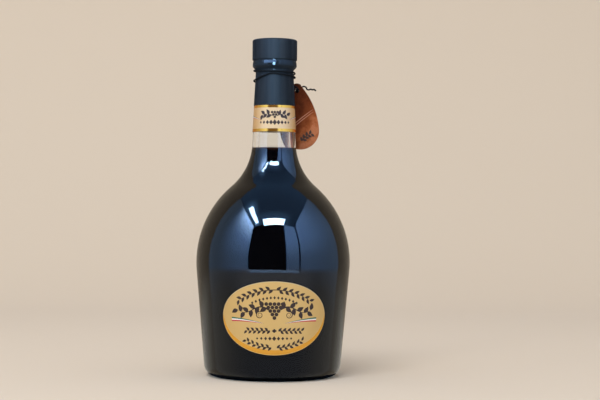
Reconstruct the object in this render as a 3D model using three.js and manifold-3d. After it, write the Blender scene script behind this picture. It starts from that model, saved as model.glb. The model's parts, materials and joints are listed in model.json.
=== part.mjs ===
// A 500 ml vinegar bottle. A clear glass flask with a tapered body, a round shoulder and a short neck holds
// dark vinegar. A black capsule closes its mouth, a paper band goes round its neck, an oval label is on its
// front, and a leather tag hangs behind the neck on an elastic string.
// Millimetres, +Z up. The origin is at the centre of the foot, and the label faces -Y.

import * as THREE from "three";
import { mergeVertices } from "three/addons/utils/BufferGeometryUtils.js";
import Module from "manifold-3d";

const wasm = await Module();
wasm.setup();

// Facets round the axis, the same for every turned piece so that their flats line up, and steps along curves
const sides = 48;
const domeSteps = 3;
const heelSteps = 4;
const shoulderSteps = { outside: 14, inside: 9 };
const flareSteps = { outside: 8, inside: 5 };
const collarSteps = { glass: 4, capsule: 7 };
const easeSteps = { lip: 2, head: 3, bead: 2 };
const labelSteps = 48;
const tagSteps = { foot: 18, flank: 8, tip: 8, hole: 6 };

// Corners closer than this are one corner
const weld = 1e-4;

// Play between two turned pieces, and between pieces that are turned against each other
const skinGap = 0.1;
const looseGap = 0.3;

// Glass, outside
const bodyRadius = 46.2;
const widestHeight = 68.3;
const sideTaper = THREE.MathUtils.degToRad(5);
const shoulderRadius = 60;
const flareRadius = 36;
const neckRadius = 13;
const neckRadiusHeight = 141.8;
const neckTaper = THREE.MathUtils.degToRad(3);
const heelRadius = 7;
const puntRadius = 29;
const puntHeight = 3.5;

// Glass, inside
const wall = 4.2;
const floorThickness = 3.2;
const innerHeelRadius = 6;
const mouthRadius = 9;

// The collar round the mouth, which the capsule hides
const collarFoot = 183;
const collarHeight = 186;
const collarRadius = 12.2;
const lipHeight = 191;
const lipEase = 0.8;

// Vinegar, up to the level that shows in the clear neck
const fillHeight = 135.9;
const meniscusRise = 0.8;
const meniscusWidth = 2;

// Capsule: a thin skirt on the neck, a bead over the collar, a groove and a plain head
const capsuleTop = 202;
const capsuleFoot = 162.3;
const capsuleFilm = 0.4;
const headRadius = 13.5;
const headFoot = 189.6;
const headEase = 1;
const grooveRadius = 12.9;
const grooveHeight = 0.7;
const grooveEase = 0.3;
const beadRadius = 13.3;
const beadFoot = 186.2;
const beadCurve = 11.4;

// Paper band and oval label
const bandFoot = 146.3;
const bandTop = 162;
const paper = 0.25;
const labelWidth = 63.8;
const labelHeight = 42.6;
const labelMiddle = 37.35;

// Tag: a drop with a round foot, bowed flanks and a small round tip
const tagLength = 40.5;
const tagFootRadius = 11.5;
const tagFlankRadius = 46.4;
const tagTipRadius = 3.6;
const tagThickness = 1.2;
const tagEase = 0.25;
const tagHoleRadius = 1.4;
const tagHoleBelowTip = 4.4;

// Where the tag hangs: turned from the back towards the right, leaning a little, clear of the neck's band
const tagTurn = THREE.MathUtils.degToRad(12);
const tagLean = THREE.MathUtils.degToRad(5.3);
const tagFromAxis = 13.9;
const tagHole = { across: 11.4, height: 172.6 };

// String
const stringDiameter = 1;
const stringSteps = 80;
const stringSides = 8;
const knotRadius = 1.4;
const knotSides = { round: 10, up: 7 };
const knotFromHole = [-0.45, 2.4, -0.2];

const at = (r, z) => new THREE.Vector2(r, z);

// Points along an arc, anticlockwise unless it ends at a smaller angle than it starts
function arc(centre, radius, from, to, steps) {
  return new THREE.EllipseCurve(centre.x, centre.y, radius, radius, from, to, to < from).getPoints(steps);
}

// Points along an S-shaped step between two places, upright at both ends
function step(from, to, steps) {
  const half = (to.y - from.y) / 2;
  const lower = at(from.x, from.y + half);
  const upper = at(to.x, to.y - half);
  return new THREE.CubicBezierCurve(from, lower, upper, to).getPoints(steps);
}

// A profile of (radius, height) turned round the upright axis
function turned(profile) {
  return new THREE.LatheGeometry(profile, sides).rotateX(Math.PI / 2);
}

function closedLoop(profile) {
  return [...profile, profile[0].clone()];
}

function solidFrom(geometry) {
  const bare = geometry.clone();
  bare.deleteAttribute("normal");
  bare.deleteAttribute("uv");
  const merged = mergeVertices(bare, weld);
  return new wasm.Manifold(
    new wasm.Mesh({
      numProp: 3,
      vertProperties: merged.attributes.position.array,
      triVerts: new Uint32Array(merged.index.array),
    }),
  );
}

function geometryFrom(solid) {
  const mesh = solid.getMesh();
  const geometry = new THREE.BufferGeometry();
  geometry.setAttribute("position", new THREE.BufferAttribute(mesh.vertProperties, 3));
  geometry.setIndex(new THREE.BufferAttribute(mesh.triVerts, 1));
  geometry.computeVertexNormals();
  return geometry;
}

function named(name, geometry, color, roughness, metalness = 0, more = {}) {
  const material = new THREE.MeshStandardMaterial({ color, roughness, metalness, ...more });
  const mesh = new THREE.Mesh(geometry, material);
  mesh.name = name;
  return mesh;
}

// The flask's outline is three arcs and two straight lines that run into each other smoothly
const shoulderCentre = at(bodyRadius - shoulderRadius, widestHeight);
const flareCentre = findFlareCentre();
const waist = shoulderCentre.clone().sub(flareCentre).angle() - Math.PI;

// The flare touches the neck's line and the shoulder's arc: its centre is on the line that runs flareRadius
// outside the neck, as far from the shoulder's centre as both radii together
function findFlareCentre() {
  const along = at(-Math.sin(neckTaper), Math.cos(neckTaper));
  const outward = at(Math.cos(neckTaper), Math.sin(neckTaper));
  const start = at(neckRadius, neckRadiusHeight).addScaledVector(outward, flareRadius);
  const away = start.clone().sub(shoulderCentre);
  const middle = away.dot(along);
  const reach = shoulderRadius + flareRadius;
  const travel = -middle + Math.sqrt(middle ** 2 + reach ** 2 - away.lengthSq());
  return start.addScaledVector(along, travel);
}

function sideRadius(height, inset = 0) {
  const touch = shoulderCentre.y - shoulderRadius * Math.sin(sideTaper);
  const radius = shoulderCentre.x + shoulderRadius * Math.cos(sideTaper);
  return radius - (touch - height) * Math.tan(sideTaper) - inset / Math.cos(sideTaper);
}

function neckOutside(height) {
  return neckRadius - (height - neckRadiusHeight) * Math.tan(neckTaper);
}

function boreRadius(height) {
  const foot = flareCentre.x - flareRadius - wall;
  return THREE.MathUtils.mapLinear(height, flareCentre.y, lipHeight, foot, mouthRadius);
}

// A heel that rounds a floor at the given height into the side wall, with the wall drawn in by inset
function heel(floor, radius, inset, steps) {
  const centre = at(sideRadius(floor + radius, inset + radius), floor + radius);
  return arc(centre, radius, -Math.PI / 2, -sideTaper, steps);
}

// A shallow dome from the axis down to a floor
function dome(rise, radius, floor, steps) {
  const ball = (radius ** 2 + rise ** 2) / (2 * rise);
  const half = Math.asin(radius / ball);
  return arc(at(0, floor + rise - ball), ball, Math.PI / 2, Math.PI / 2 - half, steps);
}

// The wall's inside, from the middle of the floor up to the given height, drawn in by inset
function insideProfile(inset, height) {
  const floor = floorThickness + inset;
  const depth = wall + inset;
  const profile = [
    ...dome(puntHeight, puntRadius, floor, domeSteps),
    ...heel(floor, innerHeelRadius, depth, heelSteps),
    ...arc(shoulderCentre, shoulderRadius - depth, -sideTaper, waist, shoulderSteps.inside),
    ...arc(flareCentre, flareRadius + depth, waist + Math.PI, Math.PI, flareSteps.inside),
  ].filter((point) => point.y < height);
  return [...profile, at(boreRadius(height) - inset, height)];
}

function glassBottle() {
  const outside = [
    ...dome(puntHeight, puntRadius, 0, domeSteps),
    ...heel(0, heelRadius, 0, heelSteps),
    ...arc(shoulderCentre, shoulderRadius, -sideTaper, waist, shoulderSteps.outside),
    ...arc(flareCentre, flareRadius, waist + Math.PI, Math.PI + neckTaper, flareSteps.outside).slice(1),
    ...step(at(neckOutside(collarFoot), collarFoot), at(collarRadius, collarHeight), collarSteps.glass),
    ...arc(at(collarRadius - lipEase, lipHeight - lipEase), lipEase, 0, Math.PI / 2, easeSteps.lip),
  ];
  const inside = insideProfile(0, lipHeight).reverse();
  return named("glass_bottle", turned([...outside, ...inside]), 0xe6ebe8, 0.05, 0, {
    transparent: true,
    opacity: 0.35,
  });
}

function vinegar() {
  const surface = at(0, fillHeight);
  const edge = boreRadius(fillHeight + meniscusRise) - looseGap;
  const profile = [
    ...insideProfile(looseGap, fillHeight + meniscusRise),
    at(edge - meniscusWidth, fillHeight),
    surface,
  ];
  return named("vinegar", turned(profile), 0x0d0706, 0.1);
}

function capsuleOutside(height) {
  return neckOutside(height) + skinGap + capsuleFilm;
}

function neckCapsule() {
  const inner = collarRadius + skinGap;
  const hood = lipHeight + looseGap;
  const waistFoot = collarFoot + skinGap;
  const grooveFoot = headFoot - grooveHeight;
  const beadTurn = Math.asin((grooveFoot - beadFoot) / beadCurve);
  const lining = at(neckOutside(collarFoot) + skinGap, collarFoot);
  const profile = [
    at(0, hood),
    at(inner, hood),
    ...step(lining, at(inner, collarHeight), collarSteps.glass).reverse(),
    at(neckOutside(capsuleFoot) + skinGap, capsuleFoot),
    at(capsuleOutside(capsuleFoot), capsuleFoot),
    ...step(at(capsuleOutside(waistFoot), waistFoot), at(beadRadius, beadFoot), collarSteps.capsule),
    ...arc(at(beadRadius - beadCurve, beadFoot), beadCurve, 0, beadTurn, easeSteps.bead).slice(1),
    at(grooveRadius, grooveFoot),
    at(grooveRadius, headFoot),
    at(headRadius, headFoot + grooveEase),
    ...arc(at(headRadius - headEase, capsuleTop - headEase), headEase, 0, Math.PI / 2, easeSteps.head),
    at(0, capsuleTop),
  ];
  return named("neck_capsule", turned(profile), 0x1c222c, 0.45);
}

function neckBand() {
  const profile = [bandFoot, bandTop].map((height) => at(neckOutside(height) + skinGap, height));
  const outer = profile.map((point) => at(point.x + paper, point.y)).reverse();
  const ring = closedLoop([...outer, ...profile]);
  return named("neck_band", turned(ring.reverse()), 0xddc08d, 0.5);
}

// The label is the part of a thin skin on the side wall that lies inside an oval drawn on the flat paper
function frontLabel() {
  const low = labelMiddle - labelHeight;
  const high = widestHeight - shoulderRadius * Math.sin(sideTaper);
  const skin = closedLoop([
    at(sideRadius(low) + skinGap, low),
    at(sideRadius(low) + skinGap + paper, low),
    at(sideRadius(high) + skinGap + paper, high),
    at(sideRadius(high) + skinGap, high),
  ]);
  const bend = sideRadius(labelMiddle);
  const oval = new THREE.EllipseCurve(0, labelMiddle, labelWidth / 2, labelHeight / 2).getPoints(labelSteps);
  const outline = oval.slice(1).map((point) => at(bend * Math.sin(point.x / bend), point.y));
  const cutter = new THREE.ExtrudeGeometry(new THREE.Shape(outline), {
    depth: 2 * bodyRadius,
    bevelEnabled: false,
  });
  const label = solidFrom(turned(skin)).intersect(solidFrom(cutter.rotateX(Math.PI / 2)));
  return named("front_label", geometryFrom(label), 0xcfae6f, 0.45);
}

// The tag's outline, drawn with its hole at the origin
function tagOutline() {
  const tip = tagHoleBelowTip;
  const footCentre = at(0, tip - tagLength + tagFootRadius);
  const tipCentre = at(0, tip - tagTipRadius);
  const shape = new THREE.Shape();
  const flankCentre = at(tagFootRadius - tagFlankRadius, footCentre.y);
  const leftCentre = at(-flankCentre.x, flankCentre.y);
  const turn = Math.atan2(tipCentre.y - flankCentre.y, tipCentre.x - flankCentre.x);
  shape.setFromPoints([
    ...arc(footCentre, tagFootRadius, Math.PI, 2 * Math.PI, tagSteps.foot),
    ...arc(flankCentre, tagFlankRadius, 0, turn, tagSteps.flank).slice(1),
    ...arc(tipCentre, tagTipRadius, turn, Math.PI - turn, tagSteps.tip).slice(1),
    ...arc(leftCentre, tagFlankRadius, Math.PI - turn, Math.PI, tagSteps.flank).slice(1, -1),
  ]);
  shape.holes.push(new THREE.Path().absarc(0, 0, tagHoleRadius, 0, 2 * Math.PI, true));
  return shape;
}

// A frame at the tag's hole: X runs across the tag to the right, Y outwards from the bottle and Z up
function hungAtHole() {
  const hanger = new THREE.Group();
  const outward = new THREE.Vector3(Math.sin(tagTurn), Math.cos(tagTurn), 0);
  const across = new THREE.Vector3(Math.cos(tagTurn), -Math.sin(tagTurn), 0);
  hanger.position.addScaledVector(outward, tagFromAxis).addScaledVector(across, tagHole.across);
  hanger.position.z = tagHole.height;
  hanger.rotation.z = -tagTurn;
  return hanger;
}

function hangTag() {
  const depth = tagThickness - 2 * tagEase;
  const geometry = new THREE.ExtrudeGeometry(tagOutline(), {
    depth,
    curveSegments: tagSteps.hole,
    bevelSize: tagEase,
    bevelOffset: -tagEase,
    bevelThickness: tagEase,
    bevelSegments: 1,
  });
  geometry.translate(0, 0, -depth / 2).rotateX(Math.PI / 2).rotateY(-tagLean);
  const hanger = hungAtHole();
  hanger.add(named("hang_tag", geometry, 0x9a5a38, 0.6));
  return hanger;
}

// The string runs from its knot behind the tag through the hole, twice round the neck, back through the hole
// past the knot and out to a short loose end. Stops on the neck are [degrees from the front towards +X,
// height, lift off the capsule], and the others are [across, outward, up] from the tag's hole.
const stringFromKnot = [
  [-0.6, 2.4, 0.2],
  [-0.54, 0.7, 0.3],
  [-0.56, -0.8, 0.38],
  [-1.3, -1.6, 1],
];
const stringOnNeck = [
  [150, 175.6, 1.4],
  [167, 176.5, 0.3],
  [190, 176.8, 0],
  [218, 177, 0],
  [246, 177, 0],
  [272, 177.3, 0],
  [298, 178, 0],
  [324, 179.6, 0],
  [350, 181, 0],
  [376, 180.6, 0],
  [402, 180.2, 0],
  [428, 179.7, 0],
  [454, 179.4, 0],
  [480, 179.7, 0],
  [506, 180.4, 0],
  [532, 181.3, 0],
  [558, 182.2, 0],
  [584, 182.9, 0.1],
  [610, 183.3, 0.3],
  [636, 183.4, 0.3],
  [662, 183.1, 0.2],
  [688, 182.6, 0],
  [714, 182.3, 0],
  [740, 182.2, 0],
  [766, 182.3, 0],
  [790, 182.2, 0],
  [812, 181.9, 0],
  [832, 181.6, 0.3],
  [848, 180.9, 1.2],
  [860, 179.6, 1.7],
  [868, 178.2, 1.8],
];
const stringToEnd = [
  [-2.7, -2, 3.3],
  [0.62, -1.6, 1.1],
  [0.54, -0.75, 0.36],
  [0.54, 0.7, 0.3],
  [0.6, 2.2, 0.5],
  [1.9, 3, 1.9],
  [3.5, 2.8, 2.8],
  [5.2, 2.5, 2.1],
  [5.7, 2.4, 1],
  [6.9, 2.4, 0.6],
  [8, 2.4, 1.1],
  [9.1, 2.4, 0.6],
  [10.1, 2.4, 0.9],
  [11.2, 2.4, 0],
];

function stringRoute() {
  const hanger = hungAtHole();
  hanger.updateMatrixWorld(true);
  const byTag = (stop) => hanger.localToWorld(new THREE.Vector3(...stop));
  const onNeck = ([degrees, height, lift]) => {
    const turn = THREE.MathUtils.degToRad(degrees);
    const radius = capsuleOutside(height) + stringDiameter / 2 + looseGap + lift;
    return new THREE.Vector3(radius * Math.sin(turn), -radius * Math.cos(turn), height);
  };
  return [...stringFromKnot.map(byTag), ...stringOnNeck.map(onNeck), ...stringToEnd.map(byTag)];
}

function tagString() {
  const section = new THREE.Shape().absarc(0, 0, stringDiameter / 2, 0, 2 * Math.PI);
  const cord = new THREE.ExtrudeGeometry(section, {
    steps: stringSteps,
    curveSegments: stringSides / 2,
    extrudePath: new THREE.CatmullRomCurve3(stringRoute(), false, "centripetal"),
  });
  const knot = new THREE.SphereGeometry(knotRadius, knotSides.round, knotSides.up);
  const hanger = hungAtHole();
  hanger.updateMatrixWorld(true);
  knot.translate(...knotFromHole).applyMatrix4(hanger.matrixWorld);
  const tied = solidFrom(cord).add(solidFrom(knot));
  return named("tag_string", geometryFrom(tied), 0x111113, 0.8);
}

const bottle = new THREE.Group();
bottle.add(glassBottle(), vinegar(), neckCapsule(), neckBand(), frontLabel(), hangTag(), tagString());

export default bottle;
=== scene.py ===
import json
from math import asin, atan2, cos, hypot, pi, radians, sin, sqrt, tan

import bmesh
import bpy
from mathutils import Matrix, Vector

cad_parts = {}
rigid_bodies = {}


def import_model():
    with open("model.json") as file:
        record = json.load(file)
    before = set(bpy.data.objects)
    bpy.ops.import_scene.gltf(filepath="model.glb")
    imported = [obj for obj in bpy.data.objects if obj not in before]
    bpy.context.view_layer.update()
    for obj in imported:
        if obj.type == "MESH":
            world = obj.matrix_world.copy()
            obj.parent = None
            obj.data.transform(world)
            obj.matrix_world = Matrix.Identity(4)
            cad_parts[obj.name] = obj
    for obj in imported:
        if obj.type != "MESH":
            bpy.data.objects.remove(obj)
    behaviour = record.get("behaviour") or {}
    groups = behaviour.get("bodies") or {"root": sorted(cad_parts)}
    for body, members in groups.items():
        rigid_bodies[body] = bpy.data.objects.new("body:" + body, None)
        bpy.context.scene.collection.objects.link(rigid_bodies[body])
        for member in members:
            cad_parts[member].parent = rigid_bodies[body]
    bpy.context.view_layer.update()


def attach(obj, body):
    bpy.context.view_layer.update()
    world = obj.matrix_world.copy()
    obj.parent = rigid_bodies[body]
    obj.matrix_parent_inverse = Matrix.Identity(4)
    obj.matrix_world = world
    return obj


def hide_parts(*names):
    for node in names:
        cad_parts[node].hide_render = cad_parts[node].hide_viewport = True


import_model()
mm = 0.001  # sizes below are in millimetres unless a note says otherwise


class Wire:
    # a node socket that takes part in Python expressions
    def __init__(self, tree, socket=None):
        self.tree = tree
        self.socket = socket

    def node(self, kind, settings=(), inputs=(), output=0):
        made = self.tree.nodes.new(kind)
        for name, value in dict(settings).items():
            if name == "stops":
                setStops(made.color_ramp, value)
            else:
                setattr(made, name, value)
        for name, value in dict(inputs).items():
            for part in value if isinstance(value, list) else [value]:
                feed(made.inputs[name], part)
        return Wire(self.tree, made.outputs[output] if made.outputs else None)

    def out(self, name):
        return Wire(self.tree, self.socket.node.outputs[name])

    def maths(self, operation, *values):
        return self.node("ShaderNodeMath", {"operation": operation}, dict(enumerate(values)))

    def __add__(self, other):
        return self.maths("ADD", self, other)

    def __radd__(self, other):
        return self.maths("ADD", other, self)

    def __sub__(self, other):
        return self.maths("SUBTRACT", self, other)

    def __rsub__(self, other):
        return self.maths("SUBTRACT", other, self)

    def __mul__(self, other):
        return self.maths("MULTIPLY", self, other)

    def __rmul__(self, other):
        return self.maths("MULTIPLY", other, self)

    def __truediv__(self, other):
        return self.maths("DIVIDE", self, other)

    def __pow__(self, other):
        return self.maths("POWER", self, other)

    def parts(self):
        return self.node("ShaderNodeSeparateXYZ", {}, {0: self})

    def between(self, low, high):
        # 0 below low and 1 above high, eased between them
        settings = {"interpolation_type": "SMOOTHSTEP", "clamp": True}
        return self.node("ShaderNodeMapRange", settings, {"Value": self, "From Min": low, "From Max": high})

    def blend(self, first, second):
        # a colour from first at 0 to second at 1
        ends = [end if isinstance(end, Wire) else (*end, 1) for end in (first, second)]
        inputs = {"Factor": self, 6: ends[0], 7: ends[1]}
        return self.node("ShaderNodeMix", {"data_type": "RGBA"}, inputs, output=2)

    def noise(self, scale, detail=3, roughness=0.5):
        inputs = {"Vector": self, "Scale": scale, "Detail": detail, "Roughness": roughness}
        return self.node("ShaderNodeTexNoise", {}, inputs)

    def bump(self, strength, distance):
        inputs = {"Height": self, "Strength": strength, "Distance": distance * mm}
        return self.node("ShaderNodeBump", {}, inputs)


def feed(socket, value):
    if isinstance(value, Wire):
        value.tree.links.new(value.socket, socket)
    else:
        socket.default_value = value


def setStops(ramp, stops):
    while len(ramp.elements) < len(stops):
        ramp.elements.new(0.5)
    for element, (position, colour) in zip(ramp.elements, stops):
        element.position = position
        element.color = (*colour, 1)


def finish(name, fixed):
    # a new material: constants go on the shader's own sockets, what varies is added later
    material = bpy.data.materials.new(name)
    material.use_nodes = True
    shader = material.node_tree.nodes["Principled BSDF"]
    for socket, value in fixed.items():
        shader.inputs[socket].default_value = (*value, 1) if isinstance(value, tuple) else value
    return material, shader, Wire(material.node_tree)


def vary(shader, **sockets):
    for name, wire in sockets.items():
        feed(shader.inputs[name.replace("_", " ")], wire)


def placeOn(start, scale=(1, 1, 1)):
    # object coordinates in millimetres, stretched along each axis
    place = start.node("ShaderNodeTexCoord").out("Object")
    return start.node("ShaderNodeMapping", {}, {"Vector": place, "Scale": tuple(s / mm for s in scale)})


def addObject(name, data):
    made = bpy.data.objects.new(name, data)
    bpy.context.collection.objects.link(made)
    return made


def meshPiece(name, verts, faces, smoothAngle=30, slots=None):
    # corners that meet are welded, unless the faces have material slots of their own
    mesh = bpy.data.meshes.new(name)
    mesh.from_pydata(verts, [], faces)
    for polygon, index in zip(mesh.polygons, slots or []):
        polygon.material_index = index
    work = bmesh.new()
    work.from_mesh(mesh)
    if slots is None:
        bmesh.ops.remove_doubles(work, verts=work.verts, dist=1e-7)
    bmesh.ops.recalc_face_normals(work, faces=work.faces)
    work.to_mesh(mesh)
    work.free()
    return showPiece(name, mesh, smoothAngle)


def showPiece(name, mesh, smoothAngle=30):
    mesh.shade_smooth()
    mesh.set_sharp_from_angle(angle=radians(smoothAngle))
    return addObject(name, mesh)


def dress(piece, materials, slot, *nodes):
    if not piece.data.materials:
        for material in materials if isinstance(materials, list) else [materials]:
            piece.data.materials.append(material)
    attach(piece, "root")
    if nodes:
        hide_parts(*nodes)
    print("made", piece.name, len(piece.data.polygons), "faces")
    return piece


def spread(first, last, steps):
    return [first + (last - first) * i / steps for i in range(steps + 1)]


def arc(centre, radius, first, last, steps):
    return [(centre[0] + radius * cos(a), centre[1] + radius * sin(a)) for a in spread(first, last, steps)]


def sStep(low, high, steps):
    # an S-shaped step in a profile, upright at both ends
    wide = high[0] - low[0]
    tall = high[1] - low[1]
    return [(low[0] + wide * (t * t * (3 - 2 * t)), low[1] + tall * t) for t in spread(0, 1, steps)]


def turned(profile, sides, closed=False):
    # a profile of (radius, height) turned round the upright axis
    verts = []
    rings = []
    for radius, height in profile:
        count = 1 if radius < 1e-6 else sides
        rings.append([len(verts) + i % count for i in range(sides)])
        for i in range(count):
            turn = 2 * pi * i / sides
            verts.append((radius * sin(turn) * mm, -radius * cos(turn) * mm, height * mm))
    pairs = list(zip(rings, rings[1:]))
    if closed:
        pairs.append((rings[-1], rings[0]))
    faces = []
    for low, high in pairs:
        for i in range(sides):
            j = (i + 1) % sides
            corners = list(dict.fromkeys([low[i], low[j], high[j], high[i]]))
            if len(corners) > 2:
                faces.append(corners)
    return verts, faces


# Camera, at the photograph's place: a long lens, a little to the right and tilted up

view = {
    "focalPixels": 1476,
    "imageWidth": 600,
    "distance": 890,
    "eyeHeight": 99,
    "sideways": 15.9,
    "turn": -2.3,  # degrees round the bottle
    "tilt": 0.43,
    "roll": 0.46,
}


def makeCamera():
    lens = bpy.data.cameras.new("camera")
    lens.sensor_width = 36
    lens.lens = lens.sensor_width * view["focalPixels"] / view["imageWidth"]
    camera = addObject("camera", lens)
    stand = Vector((view["sideways"], -view["distance"], view["eyeHeight"])) * mm
    tilt = Matrix.Rotation(pi / 2 + radians(view["tilt"]), 4, "X")
    roll = Matrix.Rotation(radians(view["roll"]), 4, "Z")
    turn = Matrix.Rotation(radians(view["turn"]), 4, "Z")
    camera.matrix_world = turn @ Matrix.Translation(stand) @ tilt @ roll
    bpy.context.scene.camera = camera
    print("camera placed")


makeCamera()


# The flask's outline, shared by everything that sits on the glass

flask = {
    "bodyRadius": 46.2,
    "widestHeight": 68.3,
    "sideTaper": radians(5),
    "shoulderRadius": 60,
    "flareRadius": 36,
    "neckRadius": 13,
    "neckRadiusHeight": 141.8,
    "neckTaper": radians(3),
    "heelRadius": 7,
    "puntRadius": 29,
    "puntHeight": 3.5,
    "wall": 4.2,
    "floor": 3.2,
    "innerHeel": 6,
    "mouthRadius": 9,
    "collarFoot": 183,
    "collarHeight": 186,
    "collarRadius": 12.2,
    "lipHeight": 191,
    "lipEase": 0.8,
    "sides": 160,
}
shoulderCentre = (flask["bodyRadius"] - flask["shoulderRadius"], flask["widestHeight"])


def findFlareCentre():
    # on the line flareRadius outside the neck, as far from the shoulder's centre as both radii together
    taper = flask["neckTaper"]
    along = Vector((-sin(taper), cos(taper)))
    outward = Vector((cos(taper), sin(taper)))
    start = Vector((flask["neckRadius"], flask["neckRadiusHeight"])) + outward * flask["flareRadius"]
    away = start - Vector(shoulderCentre)
    reach = flask["shoulderRadius"] + flask["flareRadius"]
    middle = away.dot(along)
    return tuple(start + along * (sqrt(middle**2 + reach**2 - away.length_squared) - middle))


flareCentre = findFlareCentre()
waist = atan2(flareCentre[1] - shoulderCentre[1], flareCentre[0] - shoulderCentre[0])


def sideRadius(height, inset=0):
    taper = flask["sideTaper"]
    touch = shoulderCentre[1] - flask["shoulderRadius"] * sin(taper)
    radius = shoulderCentre[0] + flask["shoulderRadius"] * cos(taper)
    return radius - (touch - height) * tan(taper) - inset / cos(taper)


def neckOutside(height):
    return flask["neckRadius"] - (height - flask["neckRadiusHeight"]) * tan(flask["neckTaper"])


def boreRadius(height):
    foot = flareCentre[0] - flask["flareRadius"] - flask["wall"]
    part = (height - flareCentre[1]) / (flask["lipHeight"] - flareCentre[1])
    return foot + (flask["mouthRadius"] - foot) * part


def heel(floor, radius, inset, steps):
    centre = (sideRadius(floor + radius, inset + radius), floor + radius)
    return arc(centre, radius, -pi / 2, -flask["sideTaper"], steps)


def dome(floor, steps):
    rise = flask["puntHeight"]
    ball = (flask["puntRadius"] ** 2 + rise**2) / (2 * rise)
    half = asin(flask["puntRadius"] / ball)
    return arc((0, floor + rise - ball), ball, pi / 2, pi / 2 - half, steps)


def insideProfile(inset, height):
    # the wall's inside from the middle of the floor up to a height, drawn in by inset
    depth = flask["wall"] + inset
    profile = [
        *dome(flask["floor"] + inset, 10),
        *heel(flask["floor"] + inset, flask["innerHeel"], depth, 12),
        *arc(shoulderCentre, flask["shoulderRadius"] - depth, -flask["sideTaper"], waist, 36),
        *arc(flareCentre, flask["flareRadius"] + depth, waist + pi, pi, 20)[1:],
    ]
    return [p for p in profile if p[1] < height] + [(boreRadius(height) - inset, height)]


def makeFlask():
    ease = flask["lipEase"]
    collar = flask["collarFoot"]
    outside = [
        *dome(0, 10),
        *heel(0, flask["heelRadius"], 0, 10),
        *arc(shoulderCentre, flask["shoulderRadius"], -flask["sideTaper"], waist, 44),
        *arc(flareCentre, flask["flareRadius"], waist + pi, pi + flask["neckTaper"], 24)[1:],
        *sStep((neckOutside(collar), collar), (flask["collarRadius"], flask["collarHeight"]), 8),
        *arc((flask["collarRadius"] - ease, flask["lipHeight"] - ease), ease, 0, pi / 2, 5),
    ]
    inside = insideProfile(0, flask["lipHeight"])[::-1]
    return meshPiece("glassFlask", *turned(outside + inside, flask["sides"]), 60)


def clearGlass():
    clear = {"Base Color": (0.965, 0.98, 0.972), "Roughness": 0.0, "IOR": 1.5, "Transmission Weight": 1.0}
    material, shader, start = finish("clearGlass", clear)
    waves = placeOn(start, (1, 1, 0.45)).noise(0.045, 2)  # slow waves left by the mould
    vary(shader, Normal=waves.bump(0.12, 1.2))
    return material


dress(makeFlask(), clearGlass(), "clear_glass", "glass_bottle")


# Vinegar: it reaches just into the wall, so no air shows between the two

vinegar = {"fillHeight": 135.9, "intoWall": 0.3, "meniscusRise": 0.9, "meniscusWidth": 2.6}


def makeVinegar():
    level = vinegar["fillHeight"]
    top = level + vinegar["meniscusRise"]
    profile = insideProfile(-vinegar["intoWall"], top)
    edge = profile[-1][0]
    for t in spread(0, 1, 10)[1:]:
        rise = vinegar["meniscusRise"] * (1 - t) ** 2.5
        profile.append((edge - vinegar["meniscusWidth"] * t, level + rise))
    profile.append((0, level))
    return meshPiece("vinegarFill", *turned(profile, flask["sides"]), 50)


def darkVinegar():
    material, shader, start = finish("darkVinegar", {"Roughness": 0.3, "Specular IOR Level": 0.0})
    height = placeOn(start).parts().out("Z")
    # painted light: brown near the surface, standing in for light shining through the thin liquid at the
    # meniscus
    thin = height.between(vinegar["fillHeight"] - 1.5, vinegar["fillHeight"] + 1)
    cloud = placeOn(start).noise(0.03, 2)
    deep = cloud.blend((0.0012, 0.0009, 0.0008), (0.002, 0.0013, 0.001))
    vary(shader, Base_Color=(thin * 0.7).blend(deep, (0.05, 0.02, 0.009)))
    return material


dress(makeVinegar(), darkVinegar(), "dark_vinegar", "vinegar")


# Capsule: satin black film drawn tight over the closure, shiny where it stretches over the collar

capsule = {
    "top": 202,
    "foot": 162.1,
    "film": 0.4,
    "gap": 0.1,
    "headRadius": 13.5,
    "headFoot": 189.6,
    "headEase": 1.0,
    "headFootEase": 0.35,
    "footEase": 0.12,
    "hoodGap": 0.3,
    "rimWidth": 1.9,  # the skirt's film folded over the top disc
    "rimHeight": 0.22,
    "rimEase": 0.25,
    "grooveRadius": 12.9,
    "grooveHeight": 0.7,
    "grooveEase": 0.05,
    "beadRadius": 13.3,
    "beadFoot": 186.2,
    "beadCurve": 11.4,
    "sides": 128,
}


def capsuleOutside(height):
    return neckOutside(height) + capsule["gap"] + capsule["film"]


def makeCapsule():
    c = capsule
    inner = flask["collarRadius"] + c["gap"]
    hood = flask["lipHeight"] + c["hoodGap"]
    foot = c["foot"]
    ease = c["headEase"]
    under = c["headFootEase"]
    hem = c["footEase"]
    disc = c["headRadius"] - ease - c["rimWidth"]
    grooveFoot = c["headFoot"] - c["grooveHeight"]
    beadTurn = asin((grooveFoot - c["beadFoot"]) / c["beadCurve"])
    collar = flask["collarFoot"]
    lining = sStep((neckOutside(collar) + c["gap"], collar), (inner, flask["collarHeight"]), 8)
    profile = [
        (0, hood),
        (inner, hood),
        *lining[::-1],
        (neckOutside(foot) + c["gap"], foot),
        *arc((capsuleOutside(foot) - hem, foot + hem), hem, -pi / 2, 0, 3),
        *sStep((capsuleOutside(collar), collar + c["gap"]), (c["beadRadius"], c["beadFoot"]), 16),
        *arc((c["beadRadius"] - c["beadCurve"], c["beadFoot"]), c["beadCurve"], 0, beadTurn, 10)[1:],
        (c["grooveRadius"], grooveFoot + c["grooveEase"]),
        (c["grooveRadius"], c["headFoot"] - c["grooveEase"]),
        *arc((c["headRadius"] - under, c["headFoot"] + under), under, -pi / 2, 0, 5),
        *arc((c["headRadius"] - ease, c["top"] - ease), ease, 0, pi / 2, 10),
        (disc + c["rimEase"], c["top"]),
        (disc, c["top"] - c["rimHeight"]),
        (0, c["top"] - c["rimHeight"]),
    ]
    return meshPiece("capsuleFilm", *turned(profile, c["sides"]), 40)


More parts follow.
